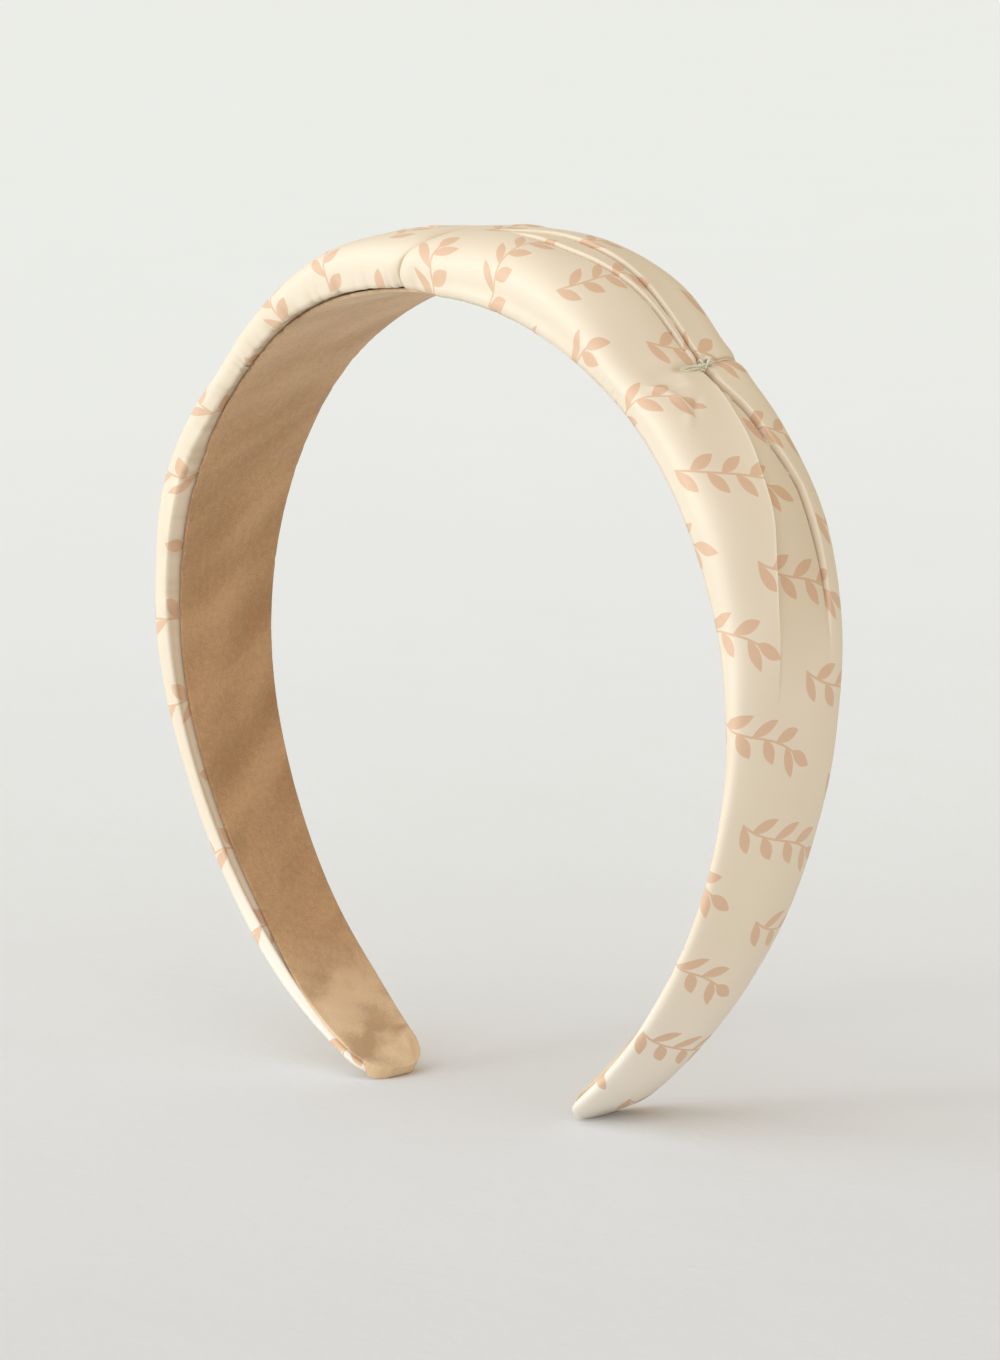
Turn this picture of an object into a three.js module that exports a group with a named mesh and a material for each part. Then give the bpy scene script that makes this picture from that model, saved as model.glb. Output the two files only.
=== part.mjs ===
import * as THREE from 'three';

// Padded satin headband, pinched by three thread ties, standing on its two tips.
// Millimetres. X runs from the left tip to the right tip, Y from the front edge of the
// band to its back edge, Z up. The origin is on the ground, midway between the tips.

// The arch is followed along the head side of the band by its arc length s: 0 at the crown,
// negative down the left leg and positive down the right leg.
const CROWN_RADIUS = 66;
const LEG_RADIUS = 98;
const CROWN_HALF_ARC = 121;
const HALF_ARC = 193;
const CROWN_SAG = 1.7; // the middle of the crown is a little flatter than its circle
const CROWN_SAG_REACH = 22;

// The band's outline and thickness, over all layers.
const CROWN_HALF_WIDTH = 16.9;
const TIP_HALF_WIDTH = 9;
const WIDTH_TAPER = 1.1; // 1 would be a straight taper
const TIP_ROUNDING = 7; // length of the rounded tongue at each end
const TIP_EDGE_ROUNDING = 1.6;
const TIP_EDGE_SHARE = 0.4; // thickness left at the very end, as a share
const TIP_THICKNESS = 3.2;
const LEG_THICKENING = 2.4; // plain gain in thickness from tip to crown
const PUFF_THICKNESS = 3.9; // extra loft of the padded stretch
const PUFF_START = 0.66; // share of the half arc where the padding starts to rise
const PUFF_FULL = 0.32;
const WIDEST_LEVEL = 0.45; // height of the widest point, as a share of the thickness
const CROWNING = 2.6; // superellipse exponent of the upper face

// The three thread ties.
const SIDE_TIE = 49; // arc length from the crown to each side tie
const TIES = [-SIDE_TIE, 0, SIDE_TIE];
const PINCH_REACH = 11;
const LEG_PINCH_REACH = 17; // a side tie pulls further down the leg than up the crown
const SIDE_PINCH = 3.5;
const CROWN_PINCH = 1.2;
const SIDE_CINCH = 0.7; // loss of half width at a side tie
const THREAD_RADIUS = 0.175;
const THREAD_SIDES = 6;
const UNDER_SHARES = [-0.75, -0.25, 0.25, 0.75]; // a tie's points under the band
const GROOVE = 0.5; // depth of the narrow groove that a thread lies in
const GROOVE_FLOOR = 0.9; // half length of the groove's floor
const GROOVE_END = 1.8;
const HEM_GAP = 1.3; // half length of the gap in the turned hems under a thread
const PINCH_STATION = 4; // one more station this far from each tie

// The layers, from the head outwards.
const GAP = 0.25;
const LINING = 0.5;
const COVER = 0.35;
const CORE = 1.0;
const HEM_LEVEL = LINING + GAP;
const HEM_LIFT = 0.75; // the cover's corner is pulled up where a thread goes round it
const CORE_LEVEL = HEM_LEVEL + COVER + GAP;
const FOAM_LEVEL = CORE_LEVEL + CORE + GAP;
const HEM_REACH = 6; // how far the cover is turned under, from the band's edge
const LEAST_HEM = 0.5; // half width of the opening between the hems, at the least
const HEM_LIP = 0.05; // how far a cut-back hem still reaches in from its corner
const CORNER = 2.2; // width of the rounded lower corner
const LARGEST_CORNER = 0.6; // as a share of the half width, in the narrow tips
const LEAST_WALL = 0.1; // least height between a section's bottom and its top
const LINING_INSET = 1.4;
const LARGEST_LINING_INSET = 0.3; // as a share of the half width
const CORE_INSET = 2.6;
const LINING_CHAMFER = 0.15;
const CORE_CHAMFER = 0.3;
const LINING_END = HALF_ARC - 0.5;
const CORE_END = HALF_ARC - 1.2;
const SOLID_START = CORE_END + 1.5 * GAP; // from here to the end the tip is solid cloth
const FOAM_END = 150;
const COVER_END = HALF_ARC - 0.02;
const TIP_PRESS = 0.25; // how much the soft tips flatten on the ground

// The tacks: short bars of thread that end the side ties, with a knot near the back end.
const TACK_MIDDLE = 3; // the bar sits a little behind the middle of the band
const TACK_HALF_LENGTH = 6;
const TACK_RADIUS = 0.5;
const KNOT_RADIUS = 0.85;
const KNOT_PLACE = 3.6;
const KNOT_HALF_LENGTH = 1.2;
const KNOT_FLAT = 0.4; // half length of the knot's widest stretch
const TACK_END_RADIUS = 0.35;
const TACK_END_STEP = 0.2;
const TACK_END_LENGTH = 1;
const TACK_STANDOFF = 0.95;

const STATION_STEP = 6.5;
const TIP_STATIONS = 6;
const { lerp, clamp, smoothstep } = THREE.MathUtils;

const bell = (distance, reach) => Math.exp(-((distance / reach) ** 2));
const quarterRound = (share) => Math.sqrt(1 - clamp(share, 0, 1) ** 2);
const tieDistance = (s) => Math.min(...TIES.map((tie) => Math.abs(s - tie)));

// How strongly a side tie pinches the pad at s.
function sideTieBell(s) {
  const below = Math.abs(s) - SIDE_TIE;
  return bell(below, below > 0 ? LEG_PINCH_REACH : PINCH_REACH);
}

// Depth of the thread groove, 1 on its floor and 0 away from a tie.
function groove(s) {
  return clamp((GROOVE_END - tieDistance(s)) / (GROOVE_END - GROOVE_FLOOR), 0, 1);
}

function halfWidth(s) {
  const run = Math.abs(s);
  const plain = lerp(CROWN_HALF_WIDTH, TIP_HALF_WIDTH, (run / HALF_ARC) ** WIDTH_TAPER);
  const pulledIn = SIDE_CINCH * sideTieBell(s) + GROOVE * groove(s);
  return (plain - pulledIn) * quarterRound(1 - (HALF_ARC - run) / TIP_ROUNDING);
}

function thickness(s) {
  const run = Math.abs(s);
  const share = run / HALF_ARC;
  const leg = TIP_THICKNESS + LEG_THICKENING * (1 - share);
  const puff = PUFF_THICKNESS * (1 - smoothstep(share, PUFF_FULL, PUFF_START));
  const sag = CROWN_SAG * bell(s, CROWN_SAG_REACH);
  const pinch = SIDE_PINCH * sideTieBell(s) + CROWN_PINCH * bell(s, PINCH_REACH);
  const tip = quarterRound(1 - (HALF_ARC - run) / TIP_EDGE_ROUNDING);
  return (leg + puff + sag - pinch - GROOVE * groove(s)) * lerp(TIP_EDGE_SHARE, 1, tip);
}

// A point of the band: s along the arch, y across it, n outwards from the head side.
function archPoint(s, y, n) {
  const run = Math.abs(s);
  const crownTurn = Math.min(run, CROWN_HALF_ARC) / CROWN_RADIUS;
  const turn = crownTurn + Math.max(run - CROWN_HALF_ARC, 0) / LEG_RADIUS;
  const out = n - CROWN_SAG * bell(s, CROWN_SAG_REACH);
  const across = CROWN_RADIUS * Math.sin(crownTurn)
    + LEG_RADIUS * (Math.sin(turn) - Math.sin(crownTurn)) + out * Math.sin(turn);
  const up = CROWN_RADIUS * Math.cos(crownTurn)
    + LEG_RADIUS * (Math.cos(turn) - Math.cos(crownTurn)) + out * Math.cos(turn);
  return new THREE.Vector3((s < 0 ? -1 : 1) * across, y, up);
}

// Stations along the arch, closer together at the ties and round the tips.
function stationsTo(end) {
  const near = [0, GROOVE_FLOOR, HEM_GAP, GROOVE_END, PINCH_STATION];
  const list = TIES.flatMap((tie) => near.flatMap((d) => [tie - d, tie + d]));
  list.push(CORE_END + GAP, SOLID_START);
  for (let i = 1; i <= TIP_STATIONS; i += 1) {
    const angle = ((i / (TIP_STATIONS + 1)) * Math.PI) / 2;
    list.push(HALF_ARC - TIP_ROUNDING * (1 - Math.sin(angle)));
  }
  const fixed = [...list];
  for (let s = STATION_STEP; s <= HALF_ARC - TIP_ROUNDING; s += STATION_STEP) {
    if (fixed.every((other) => Math.abs(other - s) > STATION_STEP / 3)) list.push(s);
  }
  const right = list.filter((s) => s > 0 && s < end - GAP);
  const both = new Set([0, end, -end, ...right, ...right.map((s) => -s)]);
  return [...both].sort((a, b) => a - b);
}

// The cover's skin as [y, n] points from the front hem over the top to the back hem.
function skin(s, inset, upperSteps = 5, cornerSteps = 2) {
  const wide = halfWidth(s) - inset;
  const top = thickness(s) - inset;
  const lift = tieDistance(s) <= GROOVE_FLOOR ? HEM_LIFT : 0;
  const bottom = Math.min(HEM_LEVEL + lift + inset, top - LEAST_WALL);
  const middle = Math.max(WIDEST_LEVEL * thickness(s), bottom + LEAST_WALL / 2);
  const corner = Math.min(CORNER - inset, LARGEST_CORNER * wide);
  const half = [];
  for (let i = 0; i <= cornerSteps; i += 1) {
    const angle = ((i / cornerSteps) * Math.PI) / 2;
    const drop = (middle - bottom) * Math.cos(angle);
    half.push([wide - corner + corner * Math.sin(angle), middle - drop]);
  }
  for (let i = 1; i <= upperSteps; i += 1) {
    const angle = ((i / upperSteps) * Math.PI) / 2;
    const y = i === upperSteps ? 0 : wide * Math.cos(angle) ** (2 / CROWNING);
    half.push([y, middle + (top - middle) * Math.sin(angle) ** (2 / CROWNING)]);
  }
  const front = half.map(([y, n]) => [-y, n]);
  return [...front, ...half.reverse().slice(1)];
}

// The cover's section: outer skin, then the inner skin back again, open between the hems.
// Past the core's end the inner skin comes down to the hems and the tip is solid.
function coverSection(s) {
  const outer = skin(s, 0);
  const solid = Math.abs(s) >= SOLID_START;
  const cutBack = tieDistance(s) <= HEM_GAP || solid;
  const cornerStart = outer.at(-1)[0];
  const turnedEnd = Math.max(halfWidth(s) - HEM_REACH, LEAST_HEM);
  const hemEnd = cutBack ? cornerStart - HEM_LIP : turnedEnd;
  const hemBottom = outer[0][1];
  let inner = skin(s, COVER);
  const hemTop = inner[0][1];
  const lip = inner.at(-1)[0];
  if (solid) inner = inner.map((_, i) => [lerp(-lip, lip, (i + 0.5) / inner.length), hemTop]);
  const backHem = [[hemEnd, hemBottom], [hemEnd, hemTop]];
  const frontHem = [[-hemEnd, hemTop], [-hemEnd, hemBottom]];
  return [...outer, ...backHem, ...inner.reverse(), ...frontHem];
}

// A flat strip with chamfered edges, for the lining and the core.
function stripSection(halfSpan, bottom, top, chamfer) {
  const cut = Math.min(chamfer, halfSpan / 3);
  const right = [
    [halfSpan - cut, bottom], [halfSpan, bottom + cut],
    [halfSpan, top - cut], [halfSpan - cut, top],
  ];
  return [...right, ...right.map(([y, n]) => [-y, n]).reverse()];
}

function liningSection(s) {
  const spare = Math.min(LINING_INSET, LARGEST_LINING_INSET * halfWidth(s));
  return stripSection(halfWidth(s) - spare, 0, LINING, LINING_CHAMFER);
}

function coreSection(s) {
  return stripSection(halfWidth(s) - CORE_INSET, CORE_LEVEL, CORE_LEVEL + CORE, CORE_CHAMFER);
}

// The foam fills the cover above the core. Skin points below its flat underside are spread
// along the outer half of that underside, so that every section has as many points.
function foamSection(s) {
  const roof = skin(s, COVER + 2 * GAP);
  const above = roof.findIndex(([, n]) => n > FOAM_LEVEL);
  const [ay, an] = roof[above - 1];
  const [by, bn] = roof[above];
  const edge = -lerp(ay, by, (FOAM_LEVEL - an) / (bn - an));
  return roof.map(([y, n], i) => {
    if (n > FOAM_LEVEL) return [y, n];
    const rank = (Math.min(i, roof.length - 1 - i) + 1) / above;
    return [Math.sign(y) * edge * lerp(0.5, 1, rank), FOAM_LEVEL];
  });
}

// The ground is just above the lowest point of the unpressed tips.
function findGround() {
  const tip = stationsTo(COVER_END).filter((s) => s > HALF_ARC - TIP_ROUNDING);
  const heights = tip.flatMap((s) => skin(s, 0).map(([y, n]) => archPoint(s, y, n).z));
  return Math.min(...heights) + TIP_PRESS;
}

const GROUND = findGround();

function place(s, y, n) {
  const point = archPoint(s, y, n);
  point.z = Math.max(point.z - GROUND, 0);
  return point;
}

// A closed body through rings of equal length. Open bodies get flat end caps.
function loft(rings, closed = false) {
  const size = rings[0].length;
  const positions = rings.flatMap((ring) => ring.flatMap((p) => [p.x, p.y, p.z]));
  const index = [];
  const spans = closed ? rings.length : rings.length - 1;
  for (let i = 0; i < spans; i += 1) {
    const from = i * size;
    const to = ((i + 1) % rings.length) * size;
    for (let j = 0; j < size; j += 1) {
      const k = (j + 1) % size;
      index.push(from + j, to + j, to + k, from + j, to + k, from + k);
    }
  }
  const geometry = new THREE.BufferGeometry();
  geometry.setAttribute('position', new THREE.Float32BufferAttribute(positions, 3));
  geometry.setIndex(index);
  return geometry;
}

// Triangles of a flat end, wound as its outline of [y, n] points is, or the other way.
function capTriangles(outline, first, sameWay) {
  const flat = outline.map(([y, n]) => new THREE.Vector2(y, n));
  const whole = Math.sign(THREE.ShapeUtils.area(flat));
  return THREE.ShapeUtils.triangulateShape(flat, []).flatMap(([a, b, c]) => {
    const way = Math.sign(THREE.ShapeUtils.area([flat[a], flat[b], flat[c]]));
    const [second, third] = (way === whole) === sameWay ? [b, c] : [c, b];
    return [first + a, first + second, first + third];
  });
}

// A body whose section changes along the arch.
function alongArch(section, end) {
  const stations = stationsTo(end);
  const outlines = stations.map(section);
  const rings = outlines.map((outline, i) => outline.map(([y, n]) => place(stations[i], y, n)));
  const geometry = loft(rings);
  const lastFirst = (rings.length - 1) * rings[0].length;
  const index = [...geometry.index.array];
  index.push(...capTriangles(outlines[0], 0, true));
  index.push(...capTriangles(outlines.at(-1), lastFirst, false));
  geometry.setIndex(index);
  return faceOut(geometry);
}

// Turns every triangle round if the body is inside out.
function faceOut(geometry) {
  const point = geometry.attributes.position;
  const index = [...geometry.index.array];
  const corner = (i) => new THREE.Vector3().fromBufferAttribute(point, index[i]);
  let volume = 0;
  for (let i = 0; i < index.length; i += 3) {
    volume += corner(i).dot(corner(i + 1).cross(corner(i + 2)));
  }
  if (volume < 0) geometry.setIndex(index.reverse());
  geometry.computeVertexNormals();
  return geometry;
}

// The route of a tie in its own section, as [y, n] points: from the back hem over the top
// of the cover to the front hem, then across between the lining and the core.
function tieRoute(s) {
  const clear = GAP + THREAD_RADIUS;
  const over = skin(s, 0, 9, 3).reverse();
  const out = over.map(([y, n], i) => {
    const [ay, an] = over[Math.max(i - 1, 0)];
    const [by, bn] = over[Math.min(i + 1, over.length - 1)];
    const length = Math.hypot(by - ay, bn - an);
    return [y + (clear * (bn - an)) / length, n - (clear * (by - ay)) / length];
  });
  const level = (LINING + CORE_LEVEL) / 2;
  const reach = out[0][0];
  const under = UNDER_SHARES.map((share) => [share * reach, level]);
  return [...out, ...under];
}

// A round thread along a route in one section of the band.
function threadAlong(s, route, closed) {
  const outward = place(s, 0, 1).sub(place(s, 0, 0));
  const along = new THREE.Vector3(outward.z, 0, -outward.x);
  const across = new THREE.Vector3(0, 1, 0);
  const last = route.length - 1;
  const rings = route.map(([y, n], i) => {
    const [ay, an] = route[i > 0 ? i - 1 : closed ? last : 0];
    const [by, bn] = route[i < last ? i + 1 : closed ? 0 : last];
    const length = Math.hypot(by - ay, bn - an);
    const side = across.clone().multiplyScalar((bn - an) / length)
      .addScaledVector(outward, -(by - ay) / length);
    return Array.from({ length: THREAD_SIDES }, (_, j) => {
      const angle = (j / THREAD_SIDES) * 2 * Math.PI;
      return place(s, y, n).addScaledVector(side, THREAD_RADIUS * Math.cos(angle))
        .addScaledVector(along, THREAD_RADIUS * Math.sin(angle));
    });
  });
  const geometry = loft(rings, closed);
  if (closed) return faceOut(geometry);
  const index = [...geometry.index.array];
  for (let j = 1; j < THREAD_SIDES - 1; j += 1) {
    const end = last * THREAD_SIDES;
    index.push(0, j, j + 1, end, end + j + 1, end + j);
  }
  geometry.setIndex(index);
  return faceOut(geometry);
}

// A side tie stops at the two ends of its tack.
function sideTie(s) {
  const route = tieRoute(s);
  const backEnd = TACK_MIDDLE + TACK_HALF_LENGTH + GAP + THREAD_RADIUS;
  const frontEnd = TACK_MIDDLE - TACK_HALF_LENGTH - GAP - THREAD_RADIUS;
  const hemTop = skin(s, 0)[0][1] + THREAD_RADIUS + GAP;
  const onTop = ([y, n]) => n > hemTop && y < backEnd && y > frontEnd;
  const start = route.findLastIndex(onTop) + 1;
  const turned = [...route.slice(start), ...route.slice(0, start)];
  return threadAlong(s, turned.filter((point) => !onTop(point)), false);
}

function tackShape() {
  const profile = [
    [0, -TACK_HALF_LENGTH],
    [TACK_END_RADIUS, TACK_END_STEP - TACK_HALF_LENGTH],
    [TACK_RADIUS, TACK_END_LENGTH - TACK_HALF_LENGTH],
    [TACK_RADIUS, KNOT_PLACE - KNOT_HALF_LENGTH],
    [KNOT_RADIUS, KNOT_PLACE - KNOT_FLAT],
    [KNOT_RADIUS, KNOT_PLACE + KNOT_FLAT],
    [TACK_RADIUS, KNOT_PLACE + KNOT_HALF_LENGTH],
    [TACK_END_RADIUS, TACK_HALF_LENGTH - TACK_END_STEP],
    [0, TACK_HALF_LENGTH],
  ];
  return new THREE.LatheGeometry(profile.map(([r, y]) => new THREE.Vector2(r, y)), 8);
}

const fabric = (color, roughness) => new THREE.MeshStandardMaterial({ color, roughness, metalness: 0 });

function named(name, geometry, material) {
  const mesh = new THREE.Mesh(geometry, material);
  mesh.name = name;
  return mesh;
}

function tack(name, s) {
  const mesh = named(name, tackShape(), fabric(0xd9cdb0, 0.9));
  mesh.position.copy(place(s, TACK_MIDDLE, thickness(s) + TACK_STANDOFF));
  return mesh;
}

const headband = new THREE.Group();
headband.add(
  named('spring_core', alongArch(coreSection, CORE_END), fabric(0xe6e3da, 0.5)),
  named('foam_pad', alongArch(foamSection, FOAM_END), fabric(0xf1ead6, 0.95)),
  named('satin_cover', alongArch(coverSection, COVER_END), fabric(0xf6e9cf, 0.45)),
  named('suede_lining', alongArch(liningSection, LINING_END), fabric(0xa88058, 0.95)),
  named('crown_tie', threadAlong(0, tieRoute(0), true), fabric(0xe3d6b4, 0.8)),
  named('left_tie', sideTie(-SIDE_TIE), fabric(0xe3d6b4, 0.8)),
  named('right_tie', sideTie(SIDE_TIE), fabric(0xe3d6b4, 0.8)),
  tack('left_tack', -SIDE_TIE),
  tack('right_tack', SIDE_TIE),
);

export default headband;
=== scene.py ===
import math
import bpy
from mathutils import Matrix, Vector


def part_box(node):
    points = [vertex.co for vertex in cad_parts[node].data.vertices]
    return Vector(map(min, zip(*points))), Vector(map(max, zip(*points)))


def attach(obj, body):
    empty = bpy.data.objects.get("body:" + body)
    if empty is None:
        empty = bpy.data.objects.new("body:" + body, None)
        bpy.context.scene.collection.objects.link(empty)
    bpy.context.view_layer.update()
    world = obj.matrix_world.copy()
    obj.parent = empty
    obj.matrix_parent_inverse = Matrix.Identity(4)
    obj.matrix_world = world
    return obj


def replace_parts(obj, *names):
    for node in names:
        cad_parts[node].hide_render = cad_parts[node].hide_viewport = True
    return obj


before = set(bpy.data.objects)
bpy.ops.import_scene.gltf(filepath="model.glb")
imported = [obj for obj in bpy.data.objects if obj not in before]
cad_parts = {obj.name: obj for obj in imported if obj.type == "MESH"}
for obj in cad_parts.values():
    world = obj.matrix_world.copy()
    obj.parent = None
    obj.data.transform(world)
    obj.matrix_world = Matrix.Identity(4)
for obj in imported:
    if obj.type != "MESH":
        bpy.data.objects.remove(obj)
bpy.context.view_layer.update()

from types import SimpleNamespace

import bpy
import numpy as np
from mathutils import Matrix, Vector

# Padded satin headband. Shapes are worked out in millimetres along the band: s runs along the
# arch (0 at the crown, negative down the left leg), g runs round the section (0 on top of the
# band, positive towards the back edge), and lift is the distance outwards from the plain skin.
MM = 0.001

# The arch and the section, as in the CAD part.
CROWN_RADIUS = 66
LEG_RADIUS = 98
CROWN_HALF_ARC = 121
HALF_ARC = 193
CROWN_SAG = 1.7
CROWN_SAG_REACH = 22
CROWN_HALF_WIDTH = 16.9
TIP_HALF_WIDTH = 9
WIDTH_TAPER = 1.1
TIP_ROUNDING = 7
TIP_EDGE_ROUNDING = 1.6
TIP_EDGE_SHARE = 0.4
TIP_THICKNESS = 3.2
LEG_THICKENING = 2.4
PUFF_THICKNESS = 3.9
PUFF_START = 0.66
PUFF_FULL = 0.32
WIDEST_LEVEL = 0.45
CROWNING = 2.6
SIDE_TIE = 49
PINCH_REACH = 11
LEG_PINCH_REACH = 17
SIDE_PINCH = 3.5
CROWN_PINCH = 1.2
SIDE_CINCH = 0.7
LINING = 0.5
HEM_LEVEL = 0.75
FOAM_LEVEL = 2.6
FOAM_END = 150
HEM_REACH = 6
CORNER = 2.2
THREAD_RADIUS = 0.175

# How the sewn band differs from the plain one: its right shoulder is fuller than its left, and
# its left tip is narrower.
LEFT_TIP_TAPER = 0.16
UNEVEN_THICKNESS = [
    dict(place=27, reach=12, gain=0.7),
    dict(place=57, reach=7, gain=0.8),
    dict(place=-33, reach=9, gain=-0.7),
    dict(place=-46, reach=6, gain=1.2),
    dict(place=-60, reach=8, gain=-0.4),
]

COVER_END = HALF_ARC - 0.02
LINING_END = HALF_ARC - 0.01
WRAP = 1.6 - HALF_ARC # beyond this place on the left leg the lining is folded over the end
CLOTH = 0.35
CREASE = 2.1 # arc length of the crown crease on top of the band
CREASE_LEAN = 3.6 # how much nearer to the left leg it meets the front hem
CREASE_DEPTH = 1.9
TIE_LEAN = 1.3 # how much nearer to the crown the side ties meet the back edge

# Where the pleats of each half start, are full, fade and end, as arc lengths from the crown.
# The front one is a lipped pleat above the side tie and a low ridge below it.
BACK_PLEAT_SPAN = (4, 18, 78, 98)
FRONT_PLEAT_SPAN = (10, 18, 42, 49)
FRONT_RIDGE_SPAN = (49.5, 54, 84, 106)

# Middle lines of the two pleats of each half: arc length from the crown, distance behind the
# band's middle line. Both run into the tack of the side tie.
BACK_PLEAT = [(0, -1.5), (7, -1.5), (11, 1.0), (15, 3.0), (28, 3.4), (38, 3.3), (45, 4.0),
              (49, 3.8), (54, 4.4), (58, 5.4), (64, 6.0), (72, 8.4), (78, 9.5), (85, 9.6),
              (110, 8), (HALF_ARC, 2)]
FRONT_PLEAT = [(0, -4.5), (14.7, -3.6), (22, -3.3), (28, -1.5), (38, 1.2), (45, 2.0),
               (49, 2.3), (53, 2.5), (58.6, 1.2), (64, 0.8), (71, -1.1), (76, -1.5),
               (83, -3.8), (89.5, -5), (110, -5.5), (HALF_ARC, -2)]

# Short puckers in front of each side tie: arc length and distance behind the middle line,
# the way they run, half length, half width and height.
PUCKERS = [
    dict(s=52.5, y=-9.6, turn=0.5, length=1.8, width=0.55, height=0.72),
    dict(s=54.8, y=-8.2, turn=0.9, length=1.5, width=0.5, height=0.8),
    dict(s=56.6, y=-5.6, turn=-0.5, length=2.4, width=0.45, height=-0.8),
    dict(s=52.0, y=-6.4, turn=0.1, length=2.6, width=0.7, height=-0.72),
    dict(s=58.5, y=-8.4, turn=-0.7, length=2.2, width=0.6, height=0.48),
]

# Dents (negative) and ridges of the lining near the left tip, in the same terms.
TIP_DENTS = [
    dict(s=-185.2, y=-2.0, turn=0.75, length=3.6, width=0.9, height=-0.5),
    dict(s=-184.0, y=6.6, turn=1.4, length=1.8, width=0.6, height=-0.6),
    dict(s=-184.2, y=3.6, turn=1.1, length=2.4, width=1.0, height=0.5),
    dict(s=-188.2, y=5.4, turn=0.3, length=2.6, width=1.3, height=0.35),
    dict(s=-171.5, y=0.2, turn=1.2, length=3.0, width=1.3, height=0.4),
    dict(s=-173.6, y=2.6, turn=1.1, length=2.6, width=1.1, height=-0.45),
    dict(s=-172.5, y=6.5, turn=0.9, length=2.4, width=1.0, height=-0.35),
]

# The lining: its insets from the front and the back edge, and from both at the right tip.
LINING_INSET = {-1: 2.95, 1: 1.0}
RIGHT_TIP_INSET = 1.5
LINING_GATHERS = 0.7 # how deep the hem's gathers cut into its outline
LINING_SINK = 0.12 # how far its head side stands proud of the plain one

HIDDEN_CLOTH = 3.0 # folded away inside the back pleat
FOAM_INSET = 1.1

# The side ties' tacks: where they start and end behind the middle line, how high they lie, and
# where their knot sits. Each strand has an offset along the band, a height and a phase, and each
# loop of the knot a place behind KNOT_Y, a size and a phase.
TACK_FRONT = -3.2
TACK_BACK = 8.9
TACK_BED = 0.2
TACK_STRANDS = ((-0.32, 0.0, 0.0), (0.3, 0.03, 2.0), (0.02, 0.36, 4.0))
KNOT_Y = 3.6
KNOT_LOOPS = ((0.0, 0.85, 0.0), (0.7, 0.7, 1.7), (1.3, 0.5, 3.1))
KNOT_TURNS = 2.2
HAIR_RADIUS = 0.035
HAIR_CURL = 0.6
SIDE_TIE_START = 8.0 # where a side tie's thread comes out of the cover, behind the middle line
HIDDEN_DEPTH = 1.3 # how deep it runs under the cover before that

FLOOR_HALF = 40
SOFT_SIDE = (-0.02, -0.965, -0.26) # where most of the room's soft light comes from
SOFT_LIGHT = (1.66, 1.76, 1.94)
DIM_LIGHT = (0.33, 0.21, 0.02)
KEY = 0.65
KEY_SIZE = 15
KEY_COLOUR = (0.9, 1.0, 1.0)
KEY_TURN = -26.8
KEY_RISE = 13

# The photograph's view: direction, roll, distance and lens, aimed a little beside the middle.
CAMERA_TURN = 44.59
CAMERA_RISE = 8.47
CAMERA_ROLL = -1.31
CAMERA_DISTANCE = 940.6
CAMERA_LENS = 145.4
CAMERA_AIM = 70
CAMERA_SIDE = 2.45
CAMERA_UP = 2.52


def bell(distance, reach):
    """1 at no distance, falling smoothly to almost 0 at twice the reach."""
    return np.exp(-((distance / reach) ** 2))


def quarter_round(share):
    """The height of a quarter circle, from 1 at a share of 0 to 0 at a share of 1."""
    return np.sqrt(1 - np.clip(share, 0, 1) ** 2)


def smooth(x, low, high):
    """A smooth step from 0 at low to 1 at high."""
    t = np.clip((x - low) / np.maximum(high - low, 1e-6), 0, 1)
    return t * t * (3 - 2 * t)


def span(x, start, full, fade, gone):
    """0 up to start, 1 from full to fade, and 0 again from gone."""
    return smooth(x, start, full) * (1 - smooth(x, fade, gone))


def lerp(a, b, t):
    return a + (b - a) * t


def dent(a, b, d):
    """A long dent or ridge at the distances a and b from its middle, turned from a towards b."""
    way = a * math.cos(d["turn"]) + b * math.sin(d["turn"])
    off = b * math.cos(d["turn"]) - a * math.sin(d["turn"])
    return d["height"] * bell(way, d["length"]) * bell(off, d["width"])


def summed(values, x):
    """The area under values over x."""
    return float(np.sum((values[1:] + values[:-1]) / 2 * np.diff(x)))


# ---------------------------------------------------------------- the plain band

def side_tie_bell(s):
    below = np.abs(s) - SIDE_TIE
    return bell(below, np.where(below > 0, LEG_PINCH_REACH, PINCH_REACH))


def half_width(s):
    run = np.abs(s)
    plain = lerp(CROWN_HALF_WIDTH, TIP_HALF_WIDTH, (run / HALF_ARC) ** WIDTH_TAPER)
    plain = plain * (1 - LEFT_TIP_TAPER * smooth(-s, 168, HALF_ARC))
    tip = quarter_round(1 - (HALF_ARC - run) / TIP_ROUNDING)
    return (plain - SIDE_CINCH * side_tie_bell(s)) * tip


def thickness(s):
    run = np.abs(s)
    share = run / HALF_ARC
    leg = TIP_THICKNESS + LEG_THICKENING * (1 - share)
    puff = PUFF_THICKNESS * (1 - smooth(share, PUFF_FULL, PUFF_START))
    sag = CROWN_SAG * bell(s, CROWN_SAG_REACH)
    pinch = SIDE_PINCH * side_tie_bell(s) + CROWN_PINCH * bell(s, PINCH_REACH)
    uneven = sum(d["gain"] * bell(s - d["place"], d["reach"]) for d in UNEVEN_THICKNESS)
    tip = quarter_round(1 - (HALF_ARC - run) / TIP_EDGE_ROUNDING)
    return (leg + puff + sag - pinch + uneven) * lerp(TIP_EDGE_SHARE, 1, tip)


# Points of an outline: along the hem, round the corner, and from the widest point to the top.
HEM_STEPS = 7
CORNER_STEPS = 23
UPPER_STEPS = 160

# The lining's upper side at the crown says how far the band is set above the arch's centre.
GROUND = CROWN_RADIUS - CROWN_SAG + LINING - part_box("suede_lining")[1].z / MM


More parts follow.
